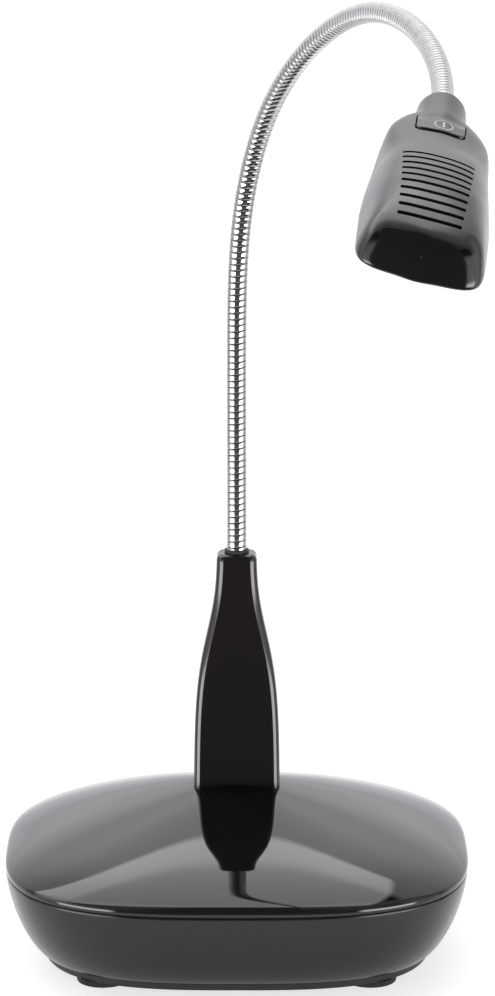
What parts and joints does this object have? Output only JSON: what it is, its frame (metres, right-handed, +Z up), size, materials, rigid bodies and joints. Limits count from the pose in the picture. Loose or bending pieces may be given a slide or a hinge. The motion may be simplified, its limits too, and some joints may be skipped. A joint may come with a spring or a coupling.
{
  "type": "gooseneck table lamp",
  "caption": "Battery table lamp: a domed base with a flat post, a coil gooseneck that bends, and a slim LED head with vents and a push button.",
  "frame": {"origin": "on the floor, at the feet's underside, under the middle of the lamp's whole width and depth; the middle of the base is 130.21 mm behind it, at +Y", "axes": "+Z up; -Y is the front, the way the head points; +X is to the right seen from the front"},
  "size_m": [0.1868, 0.4314, 0.3978],
  "materials": {
    "dome_gloss": "high gloss black",
    "bowl_satin": "satin dark grey",
    "plain_black": "plain black moulding",
    "rubber": "matt",
    "steel": "zinc plated",
    "coil_chrome": "bright",
    "cell_skin": "plain sleeve",
    "board": "circuit board",
    "wire_skin": "flex",
    "head_satin": "satin graphite",
    "head_gloss": "gloss black",
    "clear": "clear prism sheet",
    "white": "white reflector",
    "led": "phosphor",
    "alu": "plain"
  },
  "bodies": {
    "base": {"base_cover": "dome_gloss", "rim_band": "dome_gloss", "base_bowl": "bowl_satin", "bottom_plate": "plain_black", "feet": "rubber", "plate_screws": "steel", "cover_screws": "steel", "battery_case": "plain_black", "cells": "cell_skin", "contact_plates": "steel", "contact_springs": "steel", "ballast": "steel", "ballast_screws": "steel", "driver_board": "board", "post_front": "dome_gloss", "post_rear": "dome_gloss", "post_flange": "steel", "flange_screws": "steel", "post_screws": "steel", "neck_clamp": "alu", "neck_bushing": "rubber", "neck_0": "coil_chrome", "wire_0": "wire_skin"},
    "battery_door": {"battery_door": "plain_black"},
    "neck_1_section": {"neck_1": "coil_chrome", "wire_1": "wire_skin"},
    "neck_2_section": {"neck_2": "coil_chrome", "wire_2": "wire_skin"},
    "neck_3_section": {"neck_3": "coil_chrome", "wire_3": "wire_skin"},
    "neck_4_section": {"neck_4": "coil_chrome", "wire_4": "wire_skin"},
    "neck_5_section": {"neck_5": "coil_chrome", "wire_5": "wire_skin"},
    "neck_6_section": {"neck_6": "coil_chrome", "wire_6": "wire_skin"},
    "neck_7_section": {"neck_7": "coil_chrome", "wire_7": "wire_skin"},
    "head": {"neck_8": "coil_chrome", "wire_8": "wire_skin", "head_collar": "head_satin", "head_nut": "alu", "head_top": "head_satin", "head_bottom": "head_satin", "front_cover": "head_gloss", "head_screws": "steel", "lens": "clear", "reflector": "white", "led_board": "board", "leds": "led", "heat_plate": "alu", "switch_board": "board", "button_spring": "steel"},
    "power_button": {"power_button": "head_satin"}
  },
  "joints": [
    {"name": "neck_bend_1", "type": "hinge", "parent": "base", "child": "neck_1_section", "pos_m": [0, 0.13021, 0.1925], "axis": [0.9585, 0.2851, 0.0025], "range_deg": [-18, 18]},
    {"name": "neck_bend_2", "type": "hinge", "parent": "neck_1_section", "child": "neck_2_section", "pos_m": [0, 0.12821, 0.2475], "axis": [-0.2844, 0.956, 0.0714], "range_deg": [-18, 18]},
    {"name": "neck_bend_3", "type": "hinge", "parent": "neck_2_section", "child": "neck_3_section", "pos_m": [0.0025, 0.12021, 0.302], "axis": [0.8937, 0.4487, 0], "range_deg": [-18, 18]},
    {"name": "neck_bend_4", "type": "hinge", "parent": "neck_3_section", "child": "neck_4_section", "pos_m": [0.0135, 0.10171, 0.3465], "axis": [-0.4145, 0.6726, 0.613], "range_deg": [-18, 18]},
    {"name": "neck_bend_5", "type": "hinge", "parent": "neck_4_section", "child": "neck_5_section", "pos_m": [0.032, 0.06921, 0.3775], "axis": [0.8937, 0.4486, 0], "range_deg": [-18, 18]},
    {"name": "neck_bend_6", "type": "hinge", "parent": "neck_5_section", "child": "neck_6_section", "pos_m": [0.0505, 0.02521, 0.3925], "axis": [-0.0426, 0.1199, 0.9919], "range_deg": [-18, 18]},
    {"name": "neck_bend_7", "type": "hinge", "parent": "neck_6_section", "child": "neck_7_section", "pos_m": [0.0645, -0.02329, 0.392], "axis": [0.9775, 0.211, 0], "range_deg": [-18, 18]},
    {"name": "neck_bend_8", "type": "hinge", "parent": "neck_7_section", "child": "head", "pos_m": [0.071, -0.07729, 0.3825], "axis": [0.0038, -0.2106, 0.9776], "range_deg": [-18, 18]},
    {"name": "button_press", "type": "slide", "parent": "head", "child": "power_button", "axis": [-0.2305, 0.2511, -0.9401], "range_m": [0, 0.0008], "stiffness_N_per_m": 600, "springref_m": -0.0006, "deforming": ["button_spring"]},
    {"name": "door_swing", "type": "hinge", "parent": "base", "child": "battery_door", "pos_m": [0, 0.15521, 0.0035], "axis": [1, 0, 0], "range_deg": [0, 95]}
  ]
}
